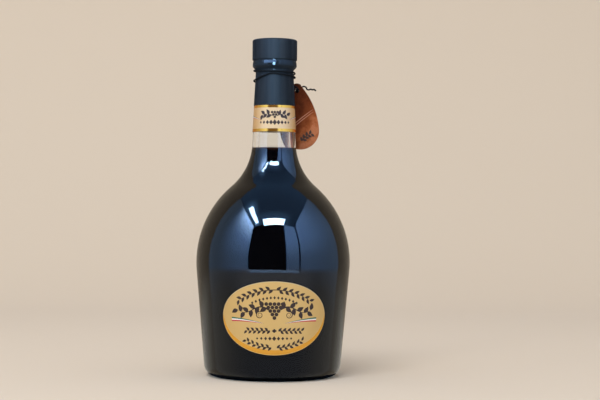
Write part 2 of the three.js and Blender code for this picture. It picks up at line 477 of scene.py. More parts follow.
def blackFilm():
    material, shader, start = finish("blackFilm", {"Specular IOR Level": 0.08, "Coat Roughness": 0.06})
    height = placeOn(start).parts().out("Z")
    low = height.between(flask["collarFoot"] - 0.5, flask["collarFoot"] + 2)
    high = height.between(capsule["headFoot"] - 1, capsule["headFoot"] + 0.2)
    bead = low * (1 - high)
    drawn = placeOn(start, (1, 1, 0.03)).noise(0.32, 4, 0.6)  # lines drawn down the film
    grain = placeOn(start).noise(9, 3)
    # painted sheen: the drawn lines also make lighter streaks in the film's colour, kept off the bead,
    # standing in for the film's uneven sheen
    sheenStreak = drawn.between(0.3, 0.7)
    vary(
        shader,
        Base_Color=(sheenStreak * (1 - bead)).blend((0.005, 0.006, 0.007), (0.015, 0.017, 0.02)),
        Roughness=0.6 + 0.14 * drawn + 0.3 * bead,
        Coat_Weight=bead * 0.25,
        Normal=(drawn * 0.6 + grain * 0.25).bump(0.25, 0.06),
    )
    return material


dress(makeCapsule(), blackFilm(), "black_film", "neck_capsule")


# Flat shapes for print and foil: closed thin plates in (across, up, lift), then laid on a surface


def plate(rows, low=-0.02, high=0.04):
    # low is under the surface and high above it
    wide = len(rows[0])
    count = wide * len(rows)
    verts = [(u, v, lift) for lift in (low, high) for row in rows for u, v in row]
    faces = []
    for i in range(len(rows) - 1):
        for j in range(wide - 1):
            a = i * wide + j
            quad = [a, a + 1, a + wide + 1, a + wide]
            faces.append(quad)
            faces.append([count + k for k in quad])
    edge = list(range(wide))
    edge += [i * wide + wide - 1 for i in range(1, len(rows))]
    edge += [count - 1 - j for j in range(1, wide)]
    edge += [i * wide for i in range(len(rows) - 2, 0, -1)]
    for a, b in zip(edge, edge[1:] + edge[:1]):
        faces.append([a, b, count + b, count + a])
    return verts, faces


def joined(plates):
    verts = []
    faces = []
    for moreVerts, moreFaces in plates:
        start = len(verts)
        verts += moreVerts
        faces += [[start + k for k in face] for face in moreFaces]
    return verts, faces


def ovalRows(centre, halfWide, halfTall, rows=6, columns=6):
    # an oval as rows from its foot to its head, with blunt ends too small to see
    grid = []
    for lean in spread(-0.497 * pi, 0.497 * pi, rows):
        reach = halfWide * cos(lean)
        up = centre[1] + halfTall * sin(lean)
        grid.append([(centre[0] + x, up) for x in spread(-reach, reach, columns)])
    return grid


def stroke(line, width, low=-0.02, high=0.04):
    # a line with a width that changes along it, as width(part of the way)
    grid = []
    for i, (u, v) in enumerate(line):
        before = line[max(i - 1, 0)]
        after = line[min(i + 1, len(line) - 1)]
        du = after[0] - before[0]
        dv = after[1] - before[1]
        half = width(i / (len(line) - 1)) / 2 / hypot(du, dv)
        grid.append([(u - dv * half, v + du * half), (u + dv * half, v - du * half)])
    return plate(grid, low, high)


def swell(width):
    return lambda t: width * (0.12 + 0.88 * sin(pi * min(max(t, 0), 1)))


def taper(width):
    return lambda t: width * (0.06 + 0.94 * (1 - t))


def layOn(name, flat, place, slots=None):
    verts, faces = flat
    return meshPiece(name, [place(*v) for v in verts], faces, slots=slots)


def startTree(name, inputs):
    # a tree that takes a geometry and the named inputs
    tree = bpy.data.node_groups.new(name, "GeometryNodeTree")
    for socket, kind in {"Geometry": "Geometry", **inputs}.items():
        tree.interface.new_socket(socket, in_out="INPUT", socket_type="NodeSocket" + kind)
    tree.interface.new_socket("Geometry", in_out="OUTPUT", socket_type="NodeSocketGeometry")
    return Wire(tree).node("NodeGroupInput")


def endTree(made, material):
    plain = made.node("GeometryNodeRealizeInstances", {}, {"Geometry": made})
    coloured = made.node("GeometryNodeSetMaterial", {}, {"Geometry": plain, "Material": material})
    made.node("NodeGroupOutput", {}, {"Geometry": coloured})
    return made.tree


# A row of leaves along a line, by nodes: shaped boxes set by turns to either side


def leafTree():
    given = startTree("leafRow", {
        "Count": "Int",
        "Length": "Float",
        "Width": "Float",
        "Thickness": "Float",
        "Splay": "Float",
        "Ink": "Material",
    })
    long = given.out("Length")
    thick = given.out("Thickness")
    size = given.node("ShaderNodeCombineXYZ", {}, {0: long, 1: given.out("Width"), 2: thick})
    corners = {"Vertices X": 9, "Vertices Y": 3, "Vertices Z": 2}
    box = given.node("GeometryNodeMeshCube", {}, {"Size": size, **corners})
    spot = given.node("GeometryNodeInputPosition").parts()
    part = spot.out("X") / long + 0.5
    fat = given.maths("SINE", part**0.8 * pi) * 0.96 + 0.04
    curl = (part * part - part) * long * 0.25
    shaped = given.node("ShaderNodeCombineXYZ", {}, {
        0: spot.out("X") + long * 0.5,
        1: spot.out("Y") * fat + curl,
        2: spot.out("Z") + thick * 0.5,
    })
    leaf = given.node("GeometryNodeSetPosition", {}, {"Geometry": box, "Position": shaped})
    line = given.node("GeometryNodeMeshToCurve", {}, {"Mesh": given.out("Geometry")})
    spaced = {"Curve": line, "Count": given.out("Count")}
    points = given.node("GeometryNodeCurveToPoints", {"mode": "COUNT"}, spaced)
    heading = points.out("Tangent").parts()
    side = 1 - 2 * given.maths("MODULO", given.node("GeometryNodeInputIndex"), 2)
    turn = given.maths("ARCTAN2", heading.out("Y"), heading.out("X")) + given.out("Splay") * side
    facing = given.node("ShaderNodeCombineXYZ", {}, {2: turn})
    placed = {"Points": points, "Instance": leaf, "Rotation": facing}
    return endTree(given.node("GeometryNodeInstanceOnPoints", {}, placed), given.out("Ink"))


def runTree(name, tree, line, values):
    # a line of points goes in, and the tree's result comes out as a plain mesh
    mesh = bpy.data.meshes.new(name)
    mesh.from_pydata(line, [(i, i + 1) for i in range(len(line) - 1)], [])
    carrier = addObject(name + "Line", mesh)
    modifier = carrier.modifiers.new(tree.name, "NODES")
    modifier.node_group = tree
    for item in tree.interface.items_tree:
        if item.in_out == "INPUT" and item.name in values:
            modifier[item.identifier] = values[item.name]
    bpy.context.view_layer.update()
    depsgraph = bpy.context.evaluated_depsgraph_get()
    result = bpy.data.meshes.new_from_object(carrier.evaluated_get(depsgraph))
    result.name = name
    carrier.modifiers.remove(modifier)
    bpy.data.objects.remove(carrier)
    return result


leafRow = leafTree()


def leaves(line, count, long, wide, splay):
    values = {
        "Count": count,
        "Length": long,
        "Width": wide,
        "Thickness": 0.05,
        "Splay": radians(splay),
        "Ink": brownInk,
    }
    mesh = runTree("leaves", leafRow, [(u, v, 0) for u, v in line], values)
    flat = ([tuple(v.co) for v in mesh.vertices], [list(p.vertices) for p in mesh.polygons])
    bpy.data.meshes.remove(mesh)
    return flat


# Inks, foil and paper


def goldFoil(name, metallic, dark, light):
    material, shader, start = finish(name, {"Metallic": metallic})
    fine = placeOn(start, (1, 1, 6)).noise(1.6, 4)
    vary(
        shader,
        Base_Color=fine.blend(dark, light),
        Roughness=0.1 + 0.12 * fine,
        Normal=fine.bump(0.15, 0.03),
    )
    return material


def printedInk(name, colour, worn):
    material, shader, start = finish(name, {"Specular IOR Level": 0.4})
    speck = placeOn(start).noise(7, 4, 0.7)
    vary(shader, Base_Color=speck.between(0.45, 0.75).blend(colour, worn), Roughness=0.42 + 0.16 * speck)
    return material


def pearlPaper(name, dark, light, near, far):
    # pearly gold paper, with painted light and sheen: lighter towards the front of the print and darker
    # round its sides
    material, shader, start = finish(name, {"Specular IOR Level": 0.4, "Metallic": 0.1})
    across = placeOn(start).parts().out("X")
    # painted light and sheen: the front of the print is made lighter than its sides
    front = 1 - across.maths("ABSOLUTE", across).between(near, far)
    fibre = placeOn(start, (1, 1, 2.5)).noise(2.2, 5, 0.65)
    pearl = placeOn(start).noise(0.12, 2)
    tone = front * 0.75 + pearl * 0.2 + fibre * 0.2 - 0.05
    vary(
        shader,
        Base_Color=tone.blend(dark, light),
        Roughness=0.36 + 0.16 * fibre,
        Normal=fibre.bump(0.2, 0.05),
    )
    return material


stripeFoil = goldFoil("stripeFoil", 0.85, (0.92, 0.38, 0.04), (1.0, 0.46, 0.07))
rimFoil = goldFoil("rimFoil", 0.3, (0.76, 0.35, 0.03), (0.85, 0.42, 0.05))
brownInk = printedInk("brownInk", (0.035, 0.016, 0.007), (0.07, 0.035, 0.015))
greenInk = printedInk("greenInk", (0.03, 0.13, 0.075), (0.05, 0.17, 0.1))
whiteInk = printedInk("whiteInk", (0.82, 0.8, 0.78), (0.74, 0.71, 0.67))
creamInk = printedInk("creamInk", (0.66, 0.55, 0.34), (0.58, 0.46, 0.26))
redInk = printedInk("redInk", (0.5, 0.035, 0.05), (0.56, 0.07, 0.08))
ribbonInks = [greenInk, whiteInk, redInk]


# Band round the neck

band = {
    "foot": 146.3,
    "top": 162.4,
    "gap": 0.08,
    "paper": 0.27,
    "ease": 0.06,
    "stripe": 1.8,
    "stripeSunk": 0.02,
    "stripeLift": 0.03,
    "sides": 128,
}


def bandRadius(height):
    return neckOutside(height) + band["gap"] + band["paper"]


def onBand(u, v, lift):
    # u runs round the neck from the front, v up from the middle of the band
    height = (band["foot"] + band["top"]) / 2 + v
    radius = bandRadius(height) + lift
    turn = u / bandRadius((band["foot"] + band["top"]) / 2)
    return Vector((radius * sin(turn), -radius * cos(turn), height)) * mm


def makeBand():
    ease = band["ease"]
    low = band["foot"]
    high = band["top"]
    profile = [(neckOutside(z) + band["gap"], z) for z in (high, low)]
    profile += [(bandRadius(low) - ease, low), (bandRadius(low), low + ease)]
    profile += [(bandRadius(high), high - ease), (bandRadius(high) - ease, high)]
    return meshPiece("bandPaper", *turned(profile, band["sides"], closed=True))


def makeBandStripes():
    made = []
    edges = (band["foot"], band["foot"] + band["stripe"]), (band["top"] - band["stripe"], band["top"])
    for low, high in edges:
        wall = [(bandRadius(z) - band["stripeSunk"], z) for z in (low, high)]
        wall += [(bandRadius(z) + band["stripeLift"], z) for z in (high, low)]
        made.append(turned(wall, band["sides"], closed=True))
    return meshPiece("bandStripes", *joined(made))


def bunch(centre, berry, rows):
    # berries in rows that shorten towards the foot
    made = []
    for row in range(rows):
        count = rows - row
        for i in range(count):
            spot = (centre[0] + (i - (count - 1) / 2) * berry * 2.1, centre[1] - row * berry * 1.82)
            made.append(plate(ovalRows(spot, berry, berry)))
    return made


def lozenge(centre, halfWide, halfTall):
    rows = []
    for t in spread(-1, 1, 6):
        reach = halfWide * (1.01 - abs(t))
        rows.append([(centre[0] + x, centre[1] + halfTall * t) for x in spread(-reach, reach, 6)])
    return plate(rows)


def ribbons(inner, outer, height, sag, width):
    # three stripes that swing in from the sides and come to a point, the topmost first
    colours = [[], [], []]
    for side in (-1, 1):
        line = []
        for t in spread(0, 1, 28):
            u = outer + (inner - outer) * t
            line.append((side * u, height - sag * t * t))
        for k, stripes in enumerate(colours):
            top = []
            foot = []
            for i, (u, v) in enumerate(line):
                full = width * (1 - i / (len(line) - 1)) ** 0.8 + 0.04
                top.append((u, v + full * (0.5 - k / 3)))
                foot.append((u, v + full * (0.5 - (k + 1) / 3)))
            stripes.append(plate([foot, top], high=0.03))
    return [joined(stripes) for stripes in colours]


def inkedPiece(name, flats, place):
    # flat shapes in one piece, each with a material slot of its own
    slots = [index for index, flat in enumerate(flats) for face in flat[1]]
    return layOn(name, joined(flats), place, slots)


def bandPrint():
    # berries between two sprigs, over a row of lozenges
    shapes = bunch((0, 3.4), 0.78, 3)
    for side in (-1, 1):
        sprig = [(side * u, 1.4 + 0.9 * sin((u - 1.4) / 7.2 * pi)) for u in spread(1.4, 7.6, 16)]
        shapes.append(stroke(sprig, taper(0.6)))
        shapes.append(leaves(sprig[2:], 5, 3.4, 1.9, 48))
        for k in range(1, 5):
            size = 1.3 - 0.16 * k
            shapes.append(lozenge((side * 2.2 * k, -2.6), size, size * 1.25))
    shapes.append(lozenge((0, -2.6), 1.3, 1.7))
    return joined(shapes)


bandPearl = pearlPaper("bandPearl", (0.53, 0.3, 0.11), (0.74, 0.57, 0.35), 5, 13)
dress(makeBand(), bandPearl, "band_paper", "neck_band")
dress(makeBandStripes(), stripeFoil, "band_paper")
dress(layOn("bandPrint", bandPrint(), onBand), brownInk, "band_paper")
dress(inkedPiece("bandRibbons", ribbons(8.9, 27, 1.6, 2.6, 2.2), onBand), ribbonInks, "band_paper")


# Oval label on the front

label = {"width": 63.8, "height": 42.6, "middle": 37.35, "gap": 0.06, "paper": 0.29}


def onLabel(u, v, lift):
    # u runs round the side from the front, v up from the label's middle
    height = label["middle"] + v
    radius = sideRadius(height) + label["gap"] + label["paper"] + lift
    turn = u / sideRadius(label["middle"])
    return Vector((radius * sin(turn), -radius * cos(turn), height)) * mm


def makeLabel():
    rows = ovalRows((0, 0), label["width"] / 2, label["height"] / 2, 60, 72)
    return layOn("labelPaper", plate(rows, -label["paper"], 0), onLabel)


def crescent(edge, thick, lift, first, last):
    # a rim along the label's edge, thickest at the middle of its run
    outer = []
    inner = []
    for t in spread(0, 1, 90):
        turn = first + (last - first) * t
        wide = thick * sin(pi * t) ** 0.7 + 0.03
        for rim, inset in ((outer, edge), (inner, edge + wide)):
            rim.append(((label["width"] / 2 - inset) * cos(turn), (label["height"] / 2 - inset) * sin(turn)))
    return plate([outer, inner], high=lift)


def labelPrint():
    shapes = []
    garland = [(20.5 * t, 16.4 - 6.2 * t * t) for t in spread(-1, 1, 40)]
    shapes.append(stroke(garland, swell(0.5)))
    shapes.append(leaves(garland[:20][::-1], 13, 3.2, 1.6, 42))
    shapes.append(leaves(garland[21:], 13, 3.2, 1.6, 42))
    for k in range(-6, 7):
        shapes.append(lozenge((2.1 * k, 11.9 - 0.085 * k * k), 0.7, 0.95))
    for side in (-1, 1):
        vine = [(side * u, 4.9 + 1.7 * sin((u - 3) / 9.5 * pi)) for u in spread(3.2, 21.5, 40)]
        shapes.append(stroke(vine, taper(1.0)))
        shapes.append(leaves(vine[3:], 9, 4.2, 2.5, 54))
        curl = []
        for t in spread(0, 1, 40):
            turn = 0.5 * pi - 3.6 * pi * t
            reach = 2.1 * (1 - 0.8 * t)
            curl.append((side * (8.4 + reach * cos(turn)), 1.9 + reach * sin(turn)))
        shapes.append(stroke(curl, taper(0.6)))
        spray = [(side * u, -7.2) for u in spread(2.4, 16, 16)]
        shapes.append(stroke(spray, taper(0.6)))
        shapes.append(leaves(spray, 11, 2.6, 1.35, 44))
        for k in range(1, 5):
            shapes.append(lozenge((side * 2.5 * k, -11.6), 1.1 - 0.12 * k, 1.25 - 0.12 * k))
        sprig = [(side * (1.6 + 15 * t), -16.9 + 3.9 * t * t) for t in spread(0, 1, 20)]
        shapes.append(stroke(sprig, taper(0.5)))
        shapes.append(leaves(sprig, 11, 2.7, 1.35, 42))
    shapes += bunch((0, 8.3), 1.1, 5)
    shapes.append(lozenge((0, -7.2), 1.5, 1.2))
    shapes.append(lozenge((0, -11.6), 1.2, 1.4))
    return joined(shapes)


labelPearl = pearlPaper("labelPearl", (0.57, 0.37, 0.125), (0.66, 0.45, 0.17), 8, 34)
dress(makeLabel(), labelPearl, "label_paper", "front_label")
lowRim = crescent(0.25, 2.7, 0.03, -pi * 1.02, pi * 0.02)
highRim = crescent(0, 0.3, 0.025, 0.02 * pi, 0.98 * pi)
dress(layOn("labelCrescent", lowRim, onLabel), rimFoil, "label_paper")
dress(layOn("labelEdge", highRim, onLabel), creamInk, "label_paper")
dress(layOn("labelPrint", labelPrint(), onLabel), brownInk, "label_paper")
dress(inkedPiece("labelRibbons", ribbons(6.2, 25.6, -0.9, 2.0, 2.5), onLabel), ribbonInks, "label_paper")


# Tag behind the neck

tag = {
    "length": 40.5,
    "footRadius": 11.5,
    "flankRadius": 46.4,
    "tipRadius": 3.6,
    "thickness": 1.2,
    "ease": 0.28,
    "holeRadius": 1.4,
    "holeBelowTip": 4.4,
    "turn": radians(12),
    "lean": radians(5.3),
    "fromAxis": 13.9,
    "holeAcross": 11.4,
    "holeHeight": 172.6,
}


def byHole(across, outward, up):
    # a place from the tag's hole, in metres: across to the right, out from the bottle, and up
    out = Vector((sin(tag["turn"]), cos(tag["turn"]), 0))
    right = Vector((cos(tag["turn"]), -sin(tag["turn"]), 0))
    spot = out * (tag["fromAxis"] + outward) + right * (tag["holeAcross"] + across)
    return (spot + Vector((0, 0, tag["holeHeight"] + up))) * mm


def onTag(u, v, lift):
    # on the face towards the bottle: u across and v along the tag from its hole, which leans
    across = u * cos(tag["lean"]) - v * sin(tag["lean"])
    up = u * sin(tag["lean"]) + v * cos(tag["lean"])
    return byHole(across, -tag["thickness"] / 2 - lift, up)


def tagOutline():
    tip = tag["holeBelowTip"]
    foot = (0, tip - tag["length"] + tag["footRadius"])
    small = (0, tip - tag["tipRadius"])
    flank = (tag["footRadius"] - tag["flankRadius"], foot[1])
    turn = atan2(small[1] - flank[1], small[0] - flank[0])
    return [
        *arc(foot, tag["footRadius"], pi, 2 * pi, 48),
        *arc(flank, tag["flankRadius"], 0, turn, 26)[1:],
        *arc(small, tag["tipRadius"], turn, pi - turn, 20)[1:],
        *arc((-flank[0], flank[1]), tag["flankRadius"], pi - turn, pi, 26)[1:-1],
    ]


def makeTag():
    sheet = bpy.data.curves.new("tagLeather", "CURVE")
    sheet.dimensions = "2D"
    sheet.fill_mode = "BOTH"
    sheet.bevel_depth = tag["ease"]
    sheet.bevel_resolution = 3
    sheet.offset = -tag["ease"]
    sheet.extrude = tag["thickness"] / 2 - tag["ease"]
    for outline in (tagOutline(), arc((0, 0), tag["holeRadius"], 2 * pi, 0, 32)[:-1]):
        spline = sheet.splines.new("POLY")
        spline.points.add(len(outline) - 1)
        spline.use_cyclic_u = True
        for point, (u, v) in zip(spline.points, outline):
            point.co = (u, v, 0, 1)
    flat = addObject("tagFlat", sheet)
    bpy.context.view_layer.update()
    mesh = bpy.data.meshes.new_from_object(flat.evaluated_get(bpy.context.evaluated_depsgraph_get()))
    bpy.data.objects.remove(flat)
    verts = [onTag(v.co.x, v.co.y, -tag["thickness"] / 2 - v.co.z) for v in mesh.vertices]
    faces = [list(p.vertices) for p in mesh.polygons]
    bpy.data.meshes.remove(mesh)
    return meshPiece("tagLeather", verts, faces, 40)


def redLeather():
    material, shader, start = finish("redLeather", {"Specular IOR Level": 0.03})
    spot = placeOn(start).parts()
    # painted shade: the tag is made darker towards its top and towards the neck, where the neck shades it
    dark = (spot.out("Z") - spot.out("X") * 1.6).between(106, 142)
    mottle = placeOn(start).noise(0.22, 5, 0.6)
    cells = {"Vector": placeOn(start), "Scale": 1.5}
    grain = start.node("ShaderNodeTexVoronoi", {"feature": "DISTANCE_TO_EDGE"}, cells)
    pores = grain.between(0.0, 0.18)
    tone = dark * 0.9 + mottle.between(0.35, 0.7) * 0.3 - 0.12
    stops = [
        (0.0, (0.47, 0.18, 0.088)),
        (0.16, (0.36, 0.116, 0.045)),
        (0.32, (0.26, 0.074, 0.025)),
        (0.5, (0.19, 0.049, 0.016)),
        (0.75, (0.14, 0.034, 0.011)),
        (1.0, (0.09, 0.021, 0.007)),
    ]
    hide = start.node("ShaderNodeValToRGB", {"stops": stops}, {"Fac": tone})
    vary(
        shader,
        Base_Color=((1 - pores) * 0.25).blend(hide, (0.05, 0.014, 0.006)),
        Roughness=0.55 + 0.2 * mottle,
        Normal=(pores * 0.7 + mottle * 0.5).bump(0.35, 0.09),
    )
    return material


def tagStamp():
    shapes = []
    for shift in (0, 1.5):
        line = [(-10.3 + 19.7 * t, -26.9 + shift + 13.2 * t + 0.6 * sin(pi * t)) for t in spread(0, 1, 30)]
        shapes.append(stroke(line, swell(0.55), -0.03, 0.05))
    return joined(shapes)


def tagSprig():
    line = [(0.4 + 6.2 * t, -31 + 3.9 * t + 0.8 * sin(pi * t)) for t in spread(0, 1, 20)]
    return joined([stroke(line, taper(0.7), -0.03, 0.05), leaves(line, 8, 2.7, 1.5, 56)])


tagLeather = dress(makeTag(), redLeather(), "tag_leather", "hang_tag")
paleStamp = printedInk("paleStamp", (0.5, 0.22, 0.13), (0.4, 0.15, 0.08))
tagLine = dress(layOn("tagLines", tagStamp(), onTag), paleStamp, "tag_leather")
tagMotif = dress(layOn("tagSprig", tagSprig(), onTag), brownInk, "tag_leather")


# String: from its knot behind the tag through the hole, twice round the neck, back through the hole
# and out to a short loose end. Stops on the neck are (degrees from the front towards +X, height, lift
# off the capsule), and the others are (across, outward, up) from the tag's hole.

string = {"diameter": 1.0, "gap": 0.3, "strands": 3, "strandPart": 0.27, "pitch": 2.6, "step": 0.35}
stringFromKnot = [
    (-0.6, 2.4, 0.2), (-0.54, 0.7, 0.3), (-0.56, -0.8, 0.38), (-1.3, -1.6, 1),
]
stringOnNeck = [
    (150, 175.6, 1.4), (167, 176.5, 0.3), (190, 176.8, 0), (218, 177, 0), (246, 177, 0),
    (272, 177.3, 0), (298, 178, 0), (324, 179.6, 0), (350, 181, 0), (376, 180.6, 0),
    (402, 180.2, 0), (428, 179.7, 0), (454, 179.4, 0), (480, 179.7, 0), (506, 180.4, 0),
    (532, 181.3, 0), (558, 182.2, 0), (584, 182.9, 0.1), (610, 183.3, 0.3), (636, 183.4, 0.3),
    (662, 183.1, 0.2), (688, 182.6, 0), (714, 182.3, 0), (740, 182.2, 0), (766, 182.3, 0),
    (790, 182.2, 0), (812, 181.9, 0), (832, 181.6, 0.3), (848, 180.9, 1.2), (860, 179.6, 1.7),
    (868, 178.2, 1.8),
]
stringToEnd = [
    (-2.7, -2, 3.3), (0.62, -1.6, 1.1), (0.54, -0.75, 0.36), (0.54, 0.7, 0.3), (0.6, 2.2, 0.5),
    (1.9, 3, 1.9), (3.5, 2.8, 2.8), (5.2, 2.5, 2.1), (5.7, 2.4, 1), (6.9, 2.4, 0.6),
    (8, 2.4, 1.1), (9.1, 2.4, 0.6), (10.1, 2.4, 0.9), (11.2, 2.4, 0),
]


def onNeck(degreesRound, height, lift):
    turn = radians(degreesRound)
    radius = capsuleOutside(height) + string["diameter"] / 2 + string["gap"] + lift
    return Vector((radius * sin(turn), -radius * cos(turn), height)) * mm


def smoothLine(stops, perSpan):
    # a Catmull-Rom curve through the stops, with knots spaced by the root of each span
    ends = [stops[0] * 2 - stops[1], *stops, stops[-1] * 2 - stops[-2]]
    line = [stops[0]]
    for a, b, c, d in zip(ends, ends[1:], ends[2:], ends[3:]):
        ka, kb, kc = (sqrt((q - p).length) for p, q in ((a, b), (b, c), (c, d)))
        leave = (b - a) / ka - (c - a) / (ka + kb) + (c - b) / kb
        arrive = (c - b) / kb - (d - b) / (kb + kc) + (d - c) / kc
        for t in spread(0, 1, perSpan)[1:]:
            line.append(
                b * (2 * t**3 - 3 * t**2 + 1)
                + leave * kb * (t**3 - 2 * t**2 + t)
                + c * (3 * t**2 - 2 * t**3)
                + arrive * kb * (t**3 - t**2)
            )
    return line


def stringTree(strands):
    # strands twisted round a line
    given = startTree("twistedString", {
        "Radius": "Float",
        "Offset": "Float",
        "Pitch": "Float",
        "Step": "Float",
        "Yarn": "Material",
    })
    line = given.node("GeometryNodeMeshToCurve", {}, {"Mesh": given.out("Geometry")})
    steps = {"Curve": line, "Length": given.out("Step")}
    even = given.node("GeometryNodeResampleCurve", {"mode": "LENGTH"}, steps)
    along = given.node("GeometryNodeInputTangent")
    across = given.node("GeometryNodeInputNormal")
    upright = given.node("ShaderNodeVectorMath", {"operation": "CROSS_PRODUCT"}, {0: along, 1: across})
    run = given.node("GeometryNodeSplineParameter").out("Length") / given.out("Pitch") * (2 * pi)
    outline = {"Resolution": 7, "Radius": given.out("Radius")}
    ring = given.node("GeometryNodeCurvePrimitiveCircle", {"mode": "RADIUS"}, outline)
    reach = given.out("Offset")
    made = []
    for strand in range(strands):
        turn = run + 2 * pi * strand / strands
        sway = {0: across, "Scale": given.maths("COSINE", turn) * reach}
        lift = {0: upright, "Scale": given.maths("SINE", turn) * reach}
        ways = [given.node("ShaderNodeVectorMath", {"operation": "SCALE"}, way) for way in (sway, lift)]
        shift = given.node("ShaderNodeVectorMath", {"operation": "ADD"}, dict(enumerate(ways)))
        wound = given.node("GeometryNodeSetPosition", {}, {"Geometry": even, "Offset": shift})
        tube = {"Curve": wound, "Profile Curve": ring, "Fill Caps": True}
        made.append(given.node("GeometryNodeCurveToMesh", {}, tube))
    return endTree(given.node("GeometryNodeJoinGeometry", {}, {"Geometry": made}), given.out("Yarn"))


def blackYarn():
    material, shader, start = finish("blackYarn", {"Specular IOR Level": 0.15})
    fuzz = placeOn(start).noise(6, 4, 0.7)
    vary(
        shader,
        Base_Color=fuzz.blend((0.002, 0.002, 0.0022), (0.008, 0.008, 0.009)),
        Roughness=0.7 + 0.2 * fuzz,
        Normal=fuzz.bump(0.4, 0.05),
    )
    return material


yarn = blackYarn()
twisted = stringTree(string["strands"])


def windString(name, line):
    strand = string["diameter"] * string["strandPart"]
    mesh = runTree(name, twisted, line, {
        "Radius": strand * mm,
        "Offset": (string["diameter"] / 2 - strand) * mm,
        "Pitch": string["pitch"] * mm,
        "Step": string["step"] * mm,
        "Yarn": yarn,
    })
    return showPiece(name, mesh, 60)


def knotLine(centre, reach):
    # an overhand knot pulled tight
    line = []
    for t in spread(0, 2 * pi, 60):
        across = (sin(t) + 2 * sin(2 * t)) / 3
        outward = -0.45 * sin(3 * t)
        up = (2 * cos(2 * t) - cos(t)) / 3
        line.append(byHole(*(c + reach * way for c, way in zip(centre, (across, outward, up)))))
    return line


stringStops = [byHole(*stop) for stop in stringFromKnot]
stringStops += [onNeck(*stop) for stop in stringOnNeck]
stringStops += [byHole(*stop) for stop in stringToEnd]
stringLine = smoothLine(stringStops, 8)
stringLength = sum((b - a).length for a, b in zip(stringLine, stringLine[1:]))
tagString = dress(windString("tagString", stringLine), yarn, "black_string", "tag_string")
stringKnot = dress(windString("stringKnot", knotLine((-0.45, 2.4, -0.2), 1.2)), yarn, "black_string")
print("string", round(stringLength, 4), "m")


# Studio: a pale sweep under an even sky. What shines is kept apart from what lights: a dome seen only in
# reflections has cool walls, a dim ceiling and a dark doorway at the camera, two lamps hang in front for
# the glass, and two more shine on the capsule alone. Sizes in this part are in metres.

studio = {
    "paper": (0.68, 0.6, 0.51),
    "sky": (0.75, 0.73, 0.7),
    "floorFront": -2.5,
    "wallAt": 1.15,
    "wallCurve": 0.6,
    "wallTop": 2.2,
    "halfWidth": 3.0,
    "shade": 40,  # millimetres
    "shadeLift": 0.04,
}
room = {
    "radius": 4.5,
    "strength": 4.0,
    "eye": 0.1,  # metres up, where the room is looked at from
    "left": 0.745,  # how far each wall stands, in ceiling heights
    "right": 0.755,
    "front": 1.0,
    "back": 0.3,
    "doorTurn": (-38, 18.5),  # degrees from the front, towards +X
    "sillRise": -7,
    "wallColour": (0.095, 0.138, 0.205),
    "glowColour": (0.33, 0.62, 1.25),
    "washColour": (1.8, 3.0, 5.2),
    "ceilingColour": (0.04, 0.085, 0.17),
    "haloColour": (0.2, 0.42, 0.8),
    "doorColour": (0.004, 0.005, 0.01),
    "sillColour": (0.32, 0.5, 0.82),
    "ledgeColour": (0.165, 0.172, 0.195),
    "lowColour": (0.07, 0.076, 0.088),
    "lowSideColour": (0.125, 0.12, 0.11),
    "backColour": (0.086, 0.073, 0.057),
    "benchColour": (0.145, 0.138, 0.122),
}
lamps = {
    "lampOver": {"at": (0, -1.135, 1.32), "size": (0.86, 0.3), "colour": (0.5, 0.74, 1), "watts": 62},
    "lampSide": {"at": (-0.717, -0.72, 1.32), "size": (0.15, 0.75), "colour": (0.5, 0.74, 1), "watts": 18},
    "lampCapsule": {
        "at": (-0.027, -0.3, 0.15), "aim": (0, 0, 0.15), "size": (0.06, 0.28),
        "colour": (0.34, 0.64, 1), "watts": 7.6, "only": "capsuleFilm",
    },
    "lampSheen": {
        "at": (-0.24, -0.45, 0.43), "aim": (0, 0, 0.17), "size": (0.7, 0.2), "colour": (0.26, 0.5, 1),
        "watts": 12, "only": "capsuleFilm",
    },
    "key": {
        "at": (-0.6, -1.4, 1.6), "aim": (0, 0, 0.09), "size": (1.1, 1.1), "colour": (1, 0.97, 0.93),
        "watts": 26, "lights": True,
    },
}


def hideFrom(piece, *rays):
    for ray in rays:
        setattr(piece, "visible_" + ray, False)


def makeSweep():
    bend = studio["wallAt"] - studio["wallCurve"]
    curve = arc((bend, studio["wallCurve"]), studio["wallCurve"], -pi / 2, 0, 24)
    profile = [(studio["floorFront"], 0), *curve, (studio["wallAt"], studio["wallTop"])]
    verts = [(x, y, z) for y, z in profile for x in (-studio["halfWidth"], studio["halfWidth"])]
    faces = [(2 * i, 2 * i + 1, 2 * i + 3, 2 * i + 2) for i in range(len(profile) - 1)]
    mesh = bpy.data.meshes.new("sweep")
    mesh.from_pydata(verts, [], faces)
    mesh.materials.append(sweepPaper())
    sweep = showPiece("sweep", mesh, 60)
    hideFrom(sweep, "glossy")


def makeShade():
    # the dark under the bottle, seen only in and through its glass
    rings = [(studio["shade"] * part, studio["shadeLift"]) for part in (0, 0.9, 1)]
    shade = meshPiece("shadeUnder", *turned(rings, 64))
    deep = finish("deepShade", {"Base Color": (0.006, 0.006, 0.007), "Roughness": 1.0})[0]
    shade.data.materials.append(deep)
    hideFrom(shade, "camera", "diffuse", "shadow")


def sweepPaper():
    material, shader, start = finish("sweepPaper", {"Specular IOR Level": 0.2, "Roughness": 0.9})
    tint = placeOn(start).noise(0.004, 2)
    dark = tuple(c * 0.985 for c in studio["paper"])
    vary(shader, Base_Color=tint.blend(dark, studio["paper"]))
    return material


